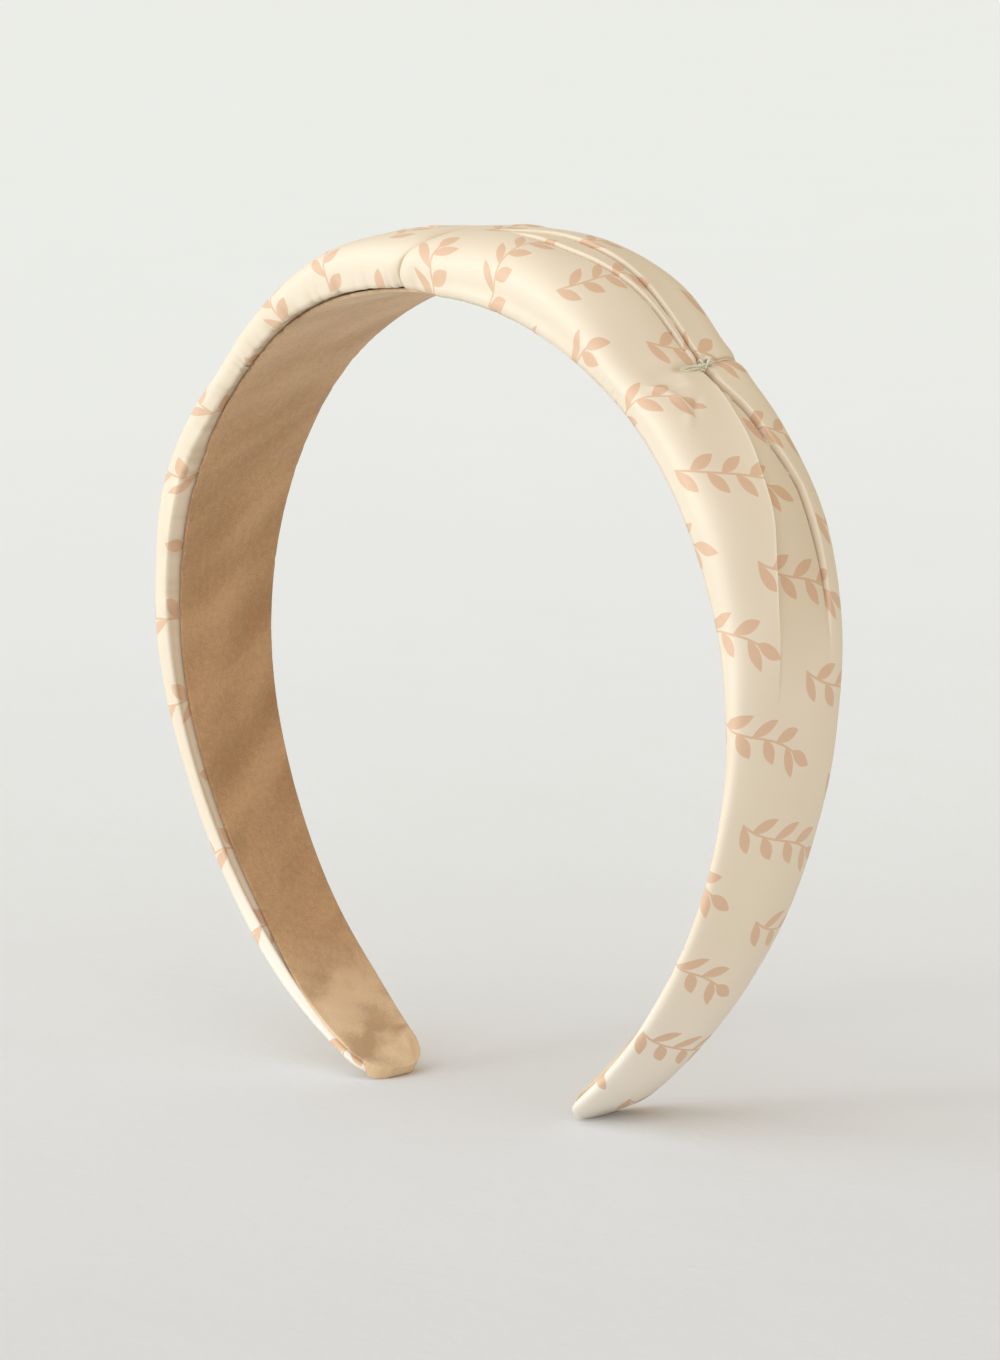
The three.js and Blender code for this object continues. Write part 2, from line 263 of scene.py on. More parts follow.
def place(s, y, n):
    """Points of the band in millimetres, in the shared frame. Nothing goes below the ground."""
    run = np.abs(s)
    crown_turn = np.minimum(run, CROWN_HALF_ARC) / CROWN_RADIUS
    turn = crown_turn + np.maximum(run - CROWN_HALF_ARC, 0) / LEG_RADIUS
    out = n - CROWN_SAG * bell(s, CROWN_SAG_REACH)
    x = CROWN_RADIUS * np.sin(crown_turn) + LEG_RADIUS * (np.sin(turn) - np.sin(crown_turn))
    z = CROWN_RADIUS * np.cos(crown_turn) + LEG_RADIUS * (np.cos(turn) - np.cos(crown_turn))
    x = np.where(s < 0, -1, 1) * (x + out * np.sin(turn))
    z = np.maximum(z + out * np.cos(turn) - GROUND, 0)
    return np.stack(np.broadcast_arrays(x, y, z), -1)


def outlines(s):
    """The cover's plain outline at each s, from the front hem's end over the top to the back
    hem's end: y, n and girth, with the girth of the widest point and of the hem's fold."""
    wide, top = half_width(s)[:, None], thickness(s)[:, None]
    bottom = np.minimum(HEM_LEVEL, top - 0.1)
    middle = np.maximum(WIDEST_LEVEL * top, bottom + 0.05)
    corner = np.minimum(CORNER, 0.6 * wide)
    hem = np.linspace(0, 1, HEM_STEPS + 1)[None, :-1]
    hem_end = np.maximum(wide - HEM_REACH, 0.1 * wide)
    low = np.linspace(0, math.pi / 2, CORNER_STEPS + 1)[None, :-1]
    up = np.linspace(0, math.pi / 2, UPPER_STEPS)[None, :]
    y = [lerp(hem_end, wide - corner, hem), wide - corner + corner * np.sin(low),
         wide * np.cos(up) ** (2 / CROWNING)]
    n = [bottom + np.zeros(hem.shape), middle - (middle - bottom) * np.cos(low),
         middle + (top - middle) * np.sin(up) ** (2 / CROWNING)]
    y, n = np.concatenate(y, 1), np.concatenate(n, 1)
    y[:, -1] = 0
    step = np.hypot(np.diff(y), np.diff(n))
    girth = np.concatenate([np.zeros((len(s), 1)), np.cumsum(step, 1)], 1)
    girth = girth[:, -1:] - girth
    hem_fold, widest = girth[:, HEM_STEPS], girth[:, HEM_STEPS + CORNER_STEPS]
    both = lambda a, sign: np.concatenate([sign * a, a[:, -2::-1]], 1)
    return SimpleNamespace(y=both(y, -1), n=both(n, 1), girth=both(girth, -1), half=y.shape[1],
                           top=widest[:, None], hem=hem_fold[:, None], end=girth[:, :1])


def sample(line, g):
    """y, n and the outward normal of each row's outline at the girths g."""
    dy, dn = np.gradient(line.y, axis=1), np.gradient(line.n, axis=1)
    size = np.hypot(dy, dn)
    found = [np.stack([np.interp(g[i], line.girth[i], a[i]) for i in range(len(g))])
             for a in (line.y, line.n, -dn / size, dy / size)]
    size = np.hypot(found[2], found[3])
    return found[0], found[1], found[2] / size, found[3] / size


def girth_at(line, y):
    """The girth at which each row's outline is y behind the middle line, on its upper side."""
    reach = UPPER_STEPS - 10
    upper = slice(line.half - reach, line.half + reach - 1)
    y = np.broadcast_to(y, (len(line.y), 1))
    return np.stack([np.interp(row, at[upper], girth[upper])
                     for row, at, girth in zip(y, line.y, line.girth)])


# ---------------------------------------------------------------- pleats, creases and puckers

def track(points, run):
    """A smooth line through given points, read at run."""
    fine = np.arange(-20, HALF_ARC + 20, 0.25)
    kernel = bell(np.arange(-6, 6.01, 0.25), 2.6)
    line = np.convolve(np.interp(fine, *zip(*points)), kernel / kernel.sum(), "same")
    return np.interp(run, fine, line)


def pleat_lines(s, line):
    """The girths of the back and the front pleat at each s."""
    run, most = np.abs(s)[:, None], 0.6 * half_width(s)[:, None]
    back = girth_at(line, np.clip(track(BACK_PLEAT, run), -most, most))
    front = girth_at(line, np.clip(track(FRONT_PLEAT, run), -most, most))
    return back, np.minimum(front, back - 0.1 * most)


def crease_line(g, line):
    """The arc length of the crown crease at each girth."""
    return CREASE - CREASE_LEAN * smooth(-g, 0.6 * line.top, 0.5 * (line.top + line.hem))


def side_tie_line(g, line):
    """The distance of the side ties from the crown at each girth."""
    return SIDE_TIE - TIE_LEAN * smooth(g, 0, 0.9 * line.top)


def notches(s, edge):
    """The gathers of the front (-1) or back (1) turned hem: narrow tucks at uneven distances,
    0 to 1. They are weaker at the back, on the right half and down the legs."""
    rng = np.random.default_rng(11 if edge < 0 else 12)
    count = 115
    at = -150 + np.cumsum(rng.uniform(1.3, 3.9, count))
    depth = rng.uniform(0.2, 1, count) ** 2
    width = rng.uniform(0.3, 0.8, count)
    tucks = sum(d * bell(s - a, w) for a, d, w in zip(at, depth, width))
    tucks = tucks * (1 if edge < 0 else 0.4)
    return tucks * lerp(1, 0.15, smooth(s, -3, 3)) * (1 - 0.85 * smooth(np.abs(s), 75, 115))


def waves(s, g, seed, count, longest, shortest):
    """Gentle unevenness: a sum of plane waves, about -1 to 1."""
    rng = np.random.default_rng(seed)
    total = 0
    for _ in range(count):
        length = rng.uniform(shortest, longest)
        way = rng.uniform(0, math.pi)
        phase = rng.uniform(0, 2 * math.pi)
        across = s * math.cos(way) + g * math.sin(way)
        total = total + np.sin(2 * math.pi * across / length + phase)
    return total / math.sqrt(count)


def pleat(e, sink, slot, lift, over, front_reach, back_reach):
    """A pleat whose back lip leans over its front: (across, lift) at distance e behind it."""
    down = np.exp(np.minimum(e, 0) / front_reach) * (1 - smooth(e, 0, 0.5))
    lip = smooth(e, 0.05, 0.7) * np.exp(-np.maximum(e - 0.7, 0) / back_reach)
    across = over * (0.5 * np.exp(-np.abs(e) / 0.3) - bell(e - 0.6, 0.5))
    return across, lift * lip - sink * down - slot * bell(e - 0.02, 0.26)


def pleat_folds(run, front, back):
    """The two pleats of each half, from the distances behind them: across, lift and shade."""
    below = smooth(run, 49, 53)
    strength = span(run, *BACK_PLEAT_SPAN)
    across, lift = pleat(back, sink=lerp(0.6, 0.8, below), slot=1.0, lift=lerp(0.3, 0.4, below),
                         over=0.45, front_reach=lerp(1.2, 3.0, below),
                         back_reach=lerp(3.0, 2.2, below))
    hole = bell(run - 50.5, 0.8) # where the pleat dives under the tack
    across, lift = across * strength, lift * strength - 1.9 * hole * bell(back, 0.6)
    shade = strength * bell(back + 0.05, 0.3) + 1.3 * hole * bell(back, 0.7)

    strength = span(run, *FRONT_PLEAT_SPAN)
    more_across, more_lift = pleat(front, sink=0.45, slot=0.7, lift=0.22, over=0.4,
                                   front_reach=1.6, back_reach=1.6)
    across, lift = across + more_across * strength, lift + more_lift * strength
    shade = shade + 0.8 * strength * bell(front + 0.05, 0.26)

    strength = span(run, *FRONT_RIDGE_SPAN)
    reach = lerp(1.6, 4.5, smooth(run, 54, 80))
    ridge = np.where(front < 0, np.exp(np.minimum(front, 0) / 1.8), 1 - smooth(front, 0, 0.4))
    valley = smooth(front, 0.0, 0.6) * np.exp(-np.maximum(front - 0.6, 0) / reach)
    lift = lift + strength * (0.6 * ridge - 0.7 * valley)
    across = across + 0.35 * strength * bell(front + 0.5, 0.6)
    between = smooth(front, 0.2, 1.2) * (1 - smooth(back, -0.6, 0.2))
    shade = shade + strength * (0.6 * bell(front - 0.4, 0.32) + 0.25 * between)
    return across, lift, shade


def crown_crease(s, g, line, on_top):
    """The crown's crease: its right side puffs up and leans over it, and its left side hollows.
    Gives along, lift and shade."""
    e = s - crease_line(g, line)
    outer, inner = girth_at(line, -10.5), girth_at(line, -4.5)
    crease = np.where(e < 0, np.exp(np.minimum(e, 0) / 0.55), np.exp(-np.maximum(e, 0) / 0.3))
    lift = on_top * (0.35 * bell(e - 2.0, 1.5) + 0.1 * bell(e + 4, 2) - CREASE_DEPTH * crease)
    lift = lift - 0.6 * bell(e + 0.9, 1.0) * bell(g - outer, 5.0)
    along = on_top * (0.3 * np.exp(-np.abs(e) / 0.4) - 0.6 * bell(e - 0.9, 0.8))
    hollow = bell(e + 0.8, 0.7) * bell(g - 0.5 * (outer + inner), 3.0)
    return along, lift, on_top * (bell(e + 0.3, 0.42) + 0.8 * hollow)


def side_tie_folds(run, g, line, on_top):
    """A tight crease behind each side tie's tack, a bed under the tack, and a hollow and
    puckers before it: lift and shade."""
    e = run - side_tie_line(g, line)
    tack_front = girth_at(line, TACK_FRONT)
    behind = smooth(g, girth_at(line, 7.6), girth_at(line, TACK_BACK)) * on_top
    before = 1 - smooth(g, girth_at(line, -4.5), girth_at(line, -2.6))
    bed = (1 - behind) * (1 - before)
    fading = before * smooth(g, girth_at(line, -13.0), girth_at(line, -4.5))
    to_back = smooth(g, 0.25 * line.top, 0.75 * line.top) * on_top
    lift = behind * (0.15 * bell(np.abs(e) - 2.1, 1.2) - 0.55 * np.exp(-np.abs(e) / 0.6))
    lift = lift + bed * (0.15 * bell(np.abs(e) - 2.2, 1.0) - 0.5 * bell(e, 1.0))
    lift = lift + 0.6 * bell(run - 48.5, 6) * to_back
    lift = lift - 0.45 * fading * bell(e - 0.2 * (tack_front - g), 1.6)
    for p in PUCKERS:
        lift = lift + dent(g - girth_at(line, p["y"]), run - p["s"], p)
    return lift, behind * bell(e, 0.4) + 0.5 * bed * bell(e, 0.7)


def hem_folds(s, g, line):
    """The turned edges: the bulge of their corners, the lift that hides the lining's edge, the
    gathers that run up from the hem, and the painted shade in the gathers and on the front hem's
    turned strip."""
    run = np.abs(s)
    corner = np.clip((np.abs(g) - line.top) / (line.hem - line.top), 0, 1)
    sharpest = np.where(g > 0, 0.5, lerp(0.8, 0.5, smooth(-s, 40, 80)))
    to_sharpest = np.minimum(corner / sharpest, (1 - corner) / (1 - sharpest))
    roll = 1 / np.cos(math.pi / 4 * to_sharpest) - 1
    size = np.where(g > 0, 0.7, 2.2 - 1.2 * smooth(s, -12, 12))
    bulge = size * roll * smooth(HALF_ARC - run, 1, np.where(s > 0, 8, 30))

    most = 0.8 + 0.8 * bell(s - 30, 26)
    hiding = most * span(s, -2, 8, 100, 140) * (g < 0)
    hiding = hiding * bell(np.abs(g) - lerp(line.top, line.hem, 0.85), 1.0)

    edge = np.where(g < 0, notches(s, -1), notches(s, 1))
    fold = lerp(line.top, line.hem, 0.75)
    tucked = edge * span(np.abs(g), line.top, fold, line.hem + 0.6, line.hem + 1.8)
    # painted shade on the front hem's turned strip, which faces down and inwards, away from the
    # light
    strip = np.where(g < 0, smooth(corner, sharpest, sharpest + 0.08), 0) * smooth(-s, 0, 20)
    return bulge, hiding, -0.8 * tucked, 0.35 * tucked + 0.2 * strip


def unevenness(s, g, on_top):
    """The pad is never quite even, and drag lines run out of the side ties."""
    run = np.abs(s)
    padded = 1 - smooth(run, 95, 140)
    drag = np.exp(-np.abs(run - SIDE_TIE) / 9) * on_top
    pad = 0.14 * lerp(0.35, 1, padded) * on_top
    return pad * waves(s, g, 3, 7, 34, 13) + 0.07 * drag * waves(0.15 * s, g, 5, 5, 7, 2.6)


def folds(s, g, line):
    """How far each point of the plain skin is moved along the band, across it and outwards, and
    how much painted shade darkens its colour in the folds and creases."""
    run, s = np.abs(s)[:, None], s[:, None]
    on_top = 1 - smooth(np.abs(g), lerp(line.top, line.hem, 0.3), line.hem)
    back, front = (g - at_pleat for at_pleat in pleat_lines(s[:, 0], line))
    across, lift, shade = pleat_folds(run, front, back)
    along, crease_lift, crease_shade = crown_crease(s, g, line, on_top)
    tie_lift, tie_shade = side_tie_folds(run, g, line, on_top)
    bulge, hiding, gathers, hem_shade = hem_folds(s, g, line)
    lift = lift + crease_lift + tie_lift + bulge + hiding + gathers + unevenness(s, g, on_top)
    shade = shade + crease_shade + tie_shade + hem_shade

    leg_crown = 1.5 * bell(g - 0.15 * line.top, 0.6 * line.top) * span(run, 105, 150, 183, 192)
    off_tip = 1 - smooth(run, 165, 188)
    lift = lerp(bulge, lift, off_tip) + leg_crown
    return along * off_tip, across * off_tip, lift, np.clip(shade * off_tip, 0, 1)


def low_envelope(lift, reach):
    """The least lift within reach grid steps, for the layers under the cover."""
    low = lift
    for _ in range(reach):
        wide = np.pad(low, 1, mode="edge")
        low = np.minimum.reduce([wide[1:-1, 1:-1], wide[:-2, 1:-1], wide[2:, 1:-1],
                                 wide[1:-1, :-2], wide[1:-1, 2:]])
    return low


# ---------------------------------------------------------------- meshes

def stations(end, fine, pad, leg):
    """Arc lengths from -end to end: fine steps at the ties and tips, then pad, then leg."""
    s = np.linspace(-end, end, 8001)
    run = np.abs(s)
    to_tie = np.min([np.abs(s - t) for t in (-SIDE_TIE, CREASE, SIDE_TIE)], axis=0)
    step = lerp(pad, leg, smooth(run, 95, 125))
    step = lerp(fine, step, smooth(to_tie, 2.5, 9))
    step = lerp(step, fine, smooth(run, end - 9, end - 3))
    count = np.concatenate([[0], np.cumsum((s[1] - s[0]) / step[1:])])
    return np.interp(np.linspace(0, count[-1], int(count[-1])), count, s)


def columns(start, end, count, power=1.0):
    """count values from start up to, but without, end. They lie closer together near start with
    a power above 1, and near end with one below -1."""
    share = np.linspace(0, 1, count + 1)[None, :-1]
    return lerp(start, end, share ** power if power > 0 else 1 - (1 - share) ** -power)


def ring_faces(rows, size):
    """Quads between rings of equal size, and the two end caps."""
    i, j = np.meshgrid(np.arange(rows - 1), np.arange(size), indexing="ij")
    k = (j + 1) % size
    quads = np.stack([i * size + j, (i + 1) * size + j, (i + 1) * size + k, i * size + k], -1)
    last = (rows - 1) * size
    caps = [list(range(size)), [last + j for j in reversed(range(size))]]
    return quads.reshape(-1, 4).tolist() + caps


def facing_out(points, faces):
    """The faces, turned round if the closed body is inside out."""
    volume = sum(np.dot(points[f[0]], np.cross(points[f[i]], points[f[i + 1]]))
                 for f in faces[::7] for i in range(1, len(f) - 1))
    return faces if volume > 0 else [f[::-1] for f in faces]


def piece(name, points, faces, material, cloth=None):
    """A mesh object that rides on the body, from points in millimetres."""
    mesh = bpy.data.meshes.new(name)
    mesh.from_pydata((np.asarray(points) * MM).tolist(), [], faces)
    mesh.shade_smooth()
    if cloth is not None:
        corner = np.zeros(len(mesh.loops), int)
        mesh.loops.foreach_get("vertex_index", corner)
        layer = mesh.uv_layers.new(name="cloth")
        layer.data.foreach_set("uv", cloth[corner].astype(np.float32).ravel())
    mesh.materials.append(material)
    made = bpy.data.objects.new(name, mesh)
    bpy.context.scene.collection.objects.link(made)
    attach(made, "root")
    return made


def lofted(name, rings, material, cloth=None):
    """A closed piece from rings of points, one for each station."""
    points = rings.reshape(-1, 3)
    faces = facing_out(points, ring_faces(len(rings), rings.shape[1]))
    flat = None if cloth is None else cloth.reshape(-1, 2)
    return piece(name, points, faces, material, flat)


def note(made, name, values):
    """Gives each point of a piece a value that its material reads."""
    layer = made.data.attributes.new(name, "FLOAT", "POINT")
    layer.data.foreach_set("value", values.astype(np.float32).ravel())


# ---------------------------------------------------------------- material nodes

class Nodes:
    """A small helper that adds nodes to a material and links what it is given."""

    def __init__(self, name):
        self.material = bpy.data.materials.new(name)
        self.material.use_nodes = True
        self.tree = self.material.node_tree
        self.shader = self.tree.nodes["Principled BSDF"]

    def link(self, value, socket):
        if isinstance(value, bpy.types.NodeSocket):
            self.tree.links.new(value, socket)
        elif value is not None:
            socket.default_value = value

    def add(self, kind, inputs=(), **settings):
        node = self.tree.nodes.new(kind)
        for key, value in settings.items():
            setattr(node, key, value)
        for key, value in dict(inputs).items():
            self.link(value, node.inputs[key])
        return node

    def math(self, operation, a, b=None, c=None):
        node = self.add("ShaderNodeMath", operation=operation)
        for value, socket in zip((a, b, c), node.inputs):
            self.link(value, socket)
        return node.outputs[0]

    def between(self, value, low, high, to_low=0.0, to_high=1.0):
        node = self.add("ShaderNodeMapRange", {0: value, 1: low, 2: high, 3: to_low, 4: to_high},
                        interpolation_type="SMOOTHSTEP")
        return node.outputs[0]

    def noise(self, where, scale, detail=3.0, roughness=0.5):
        node = self.add("ShaderNodeTexNoise", {"Vector": where, "Scale": scale, "Detail": detail,
                                               "Roughness": roughness})
        return node.outputs["Fac"]

    def mapped(self, where, place=(0, 0, 0), turn=(0, 0, 0), scale=(1, 1, 1)):
        node = self.add("ShaderNodeMapping", {"Vector": where, "Location": place, "Rotation": turn,
                                              "Scale": scale})
        return node.outputs[0]

    def mix(self, factor, a, b, blend="MIX"):
        node = self.add("ShaderNodeMix", data_type="RGBA", blend_type=blend)
        self.link(factor, node.inputs[0])
        self.link(a, node.inputs[6])
        self.link(b, node.inputs[7])
        return node.outputs[2]

    def bump(self, heights):
        """One bump from pairs of height and its depth in metres."""
        total = None
        for height, depth in heights:
            part = self.math("MULTIPLY", height, depth)
            total = part if total is None else self.math("ADD", total, part)
        node = self.add("ShaderNodeBump", {"Height": total, "Strength": 1.0, "Distance": 1.0})
        self.link(node.outputs[0], self.shader.inputs["Normal"])

    def set(self, **sockets):
        for key, value in sockets.items():
            self.link(value, self.shader.inputs[key.replace("_", " ")])
        return self.material


# The printed motif: a sprig of leaves, in millimetres on the flat cloth. Rows of sprigs lie
# askew across the band, and every second row is shifted by half a repeat.
SPRIG_REPEAT = 31.0
ROW_PITCH = 13.4
ROW_TURN = math.radians(23.3)
PRINT_ORIGIN = (137.0, 0.0)
LEAF_LENGTH = 5.6
LEAF_HALF_WIDTH = 1.15
LEAF_TURN = math.radians(40)
LEAF_STEP = 2.75
LEAF_COUNT = 7
STEM_HALF_WIDTH = 0.26
PRINT_EDGE = 0.14 # over which the ink fades out


def leaf_mask(nodes, where, root, turn, length, half_width):
    """1 inside a pointed leaf that grows from root at an angle."""
    local = nodes.mapped(where, place=(*root, 0), turn=(0, 0, turn))
    local.node.vector_type = "TEXTURE"
    x, y, _ = nodes.add("ShaderNodeSeparateXYZ", {0: local}).outputs
    share = nodes.math("DIVIDE", x, length)
    belly = nodes.math("MULTIPLY", share, nodes.math("SUBTRACT", 1.0, share))
    width = nodes.math("MULTIPLY", belly, 4 * half_width)
    return nodes.between(nodes.math("SUBTRACT", width, nodes.math("ABSOLUTE", y)), 0.0, PRINT_EDGE)


def sprig_mask(nodes, cloth):
    """1 on the printed sprigs, 0 on the plain satin."""
    rows = nodes.mapped(cloth, place=(*PRINT_ORIGIN, 0), turn=(0, 0, math.pi / 2 - ROW_TURN))
    rows.node.vector_type = "TEXTURE"
    x, y, _ = nodes.add("ShaderNodeSeparateXYZ", {0: rows}).outputs
    row = nodes.math("FLOOR", nodes.math("DIVIDE", nodes.math("ADD", y, ROW_PITCH / 2), ROW_PITCH))
    shift = nodes.math("MULTIPLY", nodes.math("FLOORED_MODULO", row, 2.0), SPRIG_REPEAT / 2)
    a = nodes.math("ADD", nodes.math("ADD", x, shift), SPRIG_REPEAT / 2)
    a = nodes.math("SUBTRACT", nodes.math("FLOORED_MODULO", a, SPRIG_REPEAT), SPRIG_REPEAT / 2)
    b = nodes.math("SUBTRACT", y, nodes.math("MULTIPLY", row, ROW_PITCH))
    bend = nodes.math("MULTIPLY", nodes.math("SINE", nodes.math("MULTIPLY", a, 0.28)), 0.7)
    b = nodes.math("SUBTRACT", b, bend)
    local = nodes.add("ShaderNodeCombineXYZ", {0: a, 1: b}).outputs[0]
    half = LEAF_STEP * LEAF_COUNT / 2
    inside = nodes.math("SUBTRACT", STEM_HALF_WIDTH, nodes.math("ABSOLUTE", b))
    along = nodes.math("LESS_THAN", nodes.math("ABSOLUTE", a), half)
    mask = nodes.math("MULTIPLY", nodes.between(inside, 0.0, PRINT_EDGE), along)
    for i in range(LEAF_COUNT):
        root = (LEAF_STEP * i - half, 0.0)
        turn = LEAF_TURN if i % 2 else -LEAF_TURN
        leaf = leaf_mask(nodes, local, root, turn, LEAF_LENGTH, LEAF_HALF_WIDTH)
        mask = nodes.math("MAXIMUM", mask, leaf)
    end = leaf_mask(nodes, local, (half - 1.0, 0.0), 0.0, LEAF_LENGTH, LEAF_HALF_WIDTH)
    return nodes.math("MAXIMUM", mask, end)


def satin():
    nodes = Nodes("printed_satin")
    cloth = nodes.add("ShaderNodeUVMap", uv_map="cloth").outputs[0]
    floats = nodes.noise(nodes.mapped(cloth, scale=(0.9, 7, 1)), 1.0, 4.0, 0.6)
    mottle = nodes.noise(nodes.mapped(cloth, scale=(0.05, 0.08, 1)), 1.0, 3.0)
    cream = nodes.mix(mottle, (0.815, 0.69, 0.515, 1), (0.865, 0.745, 0.57, 1))
    peach = nodes.mix(mottle, (0.73, 0.485, 0.31, 1), (0.78, 0.525, 0.345, 1))
    # Painted light: the satin is made paler towards the tips, standing in for the light from the
    # floor and the low front on the thin ends.
    from_crown = nodes.math("ABSOLUTE", nodes.add("ShaderNodeSeparateXYZ", {0: cloth}).outputs[0])
    cream = nodes.mix(nodes.between(from_crown, 150, 195), cream, (0.90, 0.81, 0.68, 1))
    worn = nodes.between(floats, 0.15, 0.5, 0.82, 1.0)
    ink = nodes.math("MULTIPLY", sprig_mask(nodes, cloth), worn)
    weft = nodes.add("ShaderNodeTexWave", {"Vector": cloth, "Scale": 1.6, "Distortion": 0.4},
                     bands_direction="Y").outputs["Fac"]
    nodes.bump([(floats, 0.000012), (weft, 0.000004)])
    # Painted shade: the fold attribute darkens the satin towards an olive tint in its pleats,
    # creases, tucks and on the front hem's strip.
    fold = nodes.add("ShaderNodeAttribute", attribute_name="fold").outputs["Fac"]
    printed = nodes.mix(ink, cream, peach)
    painted_shade_colour = nodes.mix(1.0, printed, (0.60, 0.50, 0.33, 1), "MULTIPLY")
    colour = nodes.mix(fold, printed, painted_shade_colour)
    return nodes.set(Base_Color=colour,
                     Roughness=nodes.between(floats, 0.2, 0.8, 0.40, 0.52),
                     Specular_IOR_Level=0.35, Sheen_Weight=0.12, Sheen_Roughness=0.4,
                     Sheen_Tint=(1.0, 0.96, 0.88, 1))


def suede():
    nodes = Nodes("brushed_suede")
    cloth = nodes.add("ShaderNodeUVMap", uv_map="cloth").outputs[0]
    askew = nodes.mapped(cloth, turn=(0, 0, 0.9), scale=(34, 12, 1))
    askew.node.vector_type = "TEXTURE"
    clouds = nodes.noise(askew, 1.0, 2.0, 0.5)
    # Painted light and shade: the lining is lighter where its relief stands up, darker in its
    # dents, and lighter near the tips.
    painted_relief_shading = nodes.add("ShaderNodeAttribute", attribute_name="painted_relief_shading").outputs["Fac"]
    nap = nodes.noise(nodes.mapped(cloth, scale=(0.8, 0.8, 1)), 1.0, 3.0, 0.6)
    fibre = nodes.noise(nodes.mapped(cloth, scale=(2.6, 2.6, 1)), 1.0, 5.0, 0.75)
    tone = nodes.math("MULTIPLY", clouds, 0.4)
    for part, share in ((nap, 0.2), (fibre, 0.4), (painted_relief_shading, 0.15)):
        tone = nodes.math("MULTIPLY_ADD", part, share, tone)
    tone = nodes.between(tone, 0.34, 0.66)
    # Painted light: the lining is made lighter near the tips and under the crown.
    painted_tip_crown_light = nodes.add("ShaderNodeAttribute", attribute_name="painted_tip_crown_light").outputs["Fac"]
    painted_tip_crown_light = nodes.math("MULTIPLY", painted_tip_crown_light, 0.55)
    dark = nodes.mix(painted_tip_crown_light, (0.36, 0.19, 0.08, 1), (0.70, 0.49, 0.29, 1))
    light = nodes.mix(painted_tip_crown_light, (0.61, 0.365, 0.178, 1), (1.0, 0.80, 0.53, 1))
    colour = nodes.mix(tone, dark, light)
    nodes.bump([(fibre, 0.00008), (nap, 0.00012)])
    return nodes.set(Base_Color=colour, Roughness=nodes.between(nap, 0.3, 0.7, 0.82, 0.98),
                     Specular_IOR_Level=0.15, Sheen_Weight=0.5, Sheen_Roughness=0.55,
                     Sheen_Tint=(1.0, 0.86, 0.7, 1))


def thread():
    nodes = Nodes("cotton_thread")
    where = nodes.add("ShaderNodeTexCoord").outputs["Object"]
    fuzz = nodes.noise(where, 5200.0, 4.0, 0.7)
    dirt = nodes.noise(where, 380.0, 2.0)
    colour = nodes.mix(fuzz, (0.66, 0.60, 0.42, 1), (0.90, 0.86, 0.70, 1))
    colour = nodes.mix(nodes.between(dirt, 0.4, 0.7, 0.0, 0.3), colour, (0.62, 0.56, 0.36, 1))
    nodes.bump([(fuzz, 0.00006)])
    return nodes.set(Base_Color=colour, Roughness=nodes.between(fuzz, 0.3, 0.7, 0.75, 0.92),
                     Specular_IOR_Level=0.3, Sheen_Weight=0.3, Sheen_Roughness=0.5)


def foam():
    nodes = Nodes("open_cell_foam")
    where = nodes.add("ShaderNodeTexCoord").outputs["Object"]
    cells = nodes.add("ShaderNodeTexVoronoi", {"Vector": where, "Scale": 1600.0})
    cells = cells.outputs["Distance"]
    cloud = nodes.noise(where, 60.0)
    colour = nodes.mix(cloud, (0.80, 0.74, 0.56, 1), (0.90, 0.86, 0.72, 1))
    nodes.bump([(cells, 0.0002)])
    return nodes.set(Base_Color=colour, Roughness=nodes.between(cells, 0.1, 0.6, 0.85, 0.97),
                     Specular_IOR_Level=0.2)


def core_plastic():
    nodes = Nodes("moulded_plastic")
    where = nodes.add("ShaderNodeTexCoord").outputs["Object"]
    grain = nodes.noise(where, 2500.0, 3.0)
    flow = nodes.noise(nodes.mapped(where, scale=(30, 120, 30)), 1.0)
    colour = nodes.mix(flow, (0.76, 0.74, 0.68, 1), (0.82, 0.81, 0.76, 1))
    nodes.bump([(grain, 0.00002)])
    return nodes.set(Base_Color=colour, Roughness=nodes.between(grain, 0.3, 0.7, 0.42, 0.55))


def floor_paint():
    nodes = Nodes("pale_floor")
    where = nodes.add("ShaderNodeTexCoord").outputs["Object"]
    paper = nodes.noise(where, 9.0, 6.0, 0.6)
    grain = nodes.noise(where, 420.0, 3.0)
    # Painted light: the floor is made darker near the camera and lighter further away, standing in
    # for the room's light falloff.
    away = nodes.add("ShaderNodeVectorMath", {0: where, 1: (-0.7, 0.7, 0)}, operation="DOT_PRODUCT")
    painted_falloff = nodes.math("EXPONENT", nodes.math("MULTIPLY_ADD", away.outputs["Value"], -1.7, -0.25))
    near_tone = nodes.mix(paper, (0.76, 0.768, 0.78, 1), (0.78, 0.788, 0.80, 1))
    far_tone = nodes.mix(paper, (0.91, 0.95, 0.945, 1), (0.925, 0.965, 0.96, 1))
    tone = nodes.mix(nodes.math("MINIMUM", painted_falloff, 1.0), far_tone, near_tone)
    nodes.bump([(grain, 0.00006), (paper, 0.0008)])
    return nodes.set(Base_Color=tone, Roughness=nodes.between(paper, 0.3, 0.7, 0.88, 0.96),
                     Specular_IOR_Level=0.1)


# ---------------------------------------------------------------- the cover

def cloth_coordinates(s, g, line):
    """Where each point lies on the flat cloth, in millimetres, for the print and the weave."""
    run = np.abs(s)
    radius = np.where(run < CROWN_HALF_ARC, CROWN_RADIUS, LEG_RADIUS)
    stretch = 1 + 0.75 * thickness(s) / radius
    length = np.concatenate([[0], np.cumsum((stretch[1:] + stretch[:-1]) / 2 * np.diff(s))])
    u = (length - np.interp(0, s, length))[:, None]
    u = u + 0.5 * (1 - smooth(s[:, None], 10, 62)) * g # the print lies more askew on the left
    hidden = HIDDEN_CLOTH * span(run, *BACK_PLEAT_SPAN)[:, None]
    back, _ = pleat_lines(s, line)
    return np.stack([u, g + hidden * smooth(g - back, -0.4, 0.9)], -1)


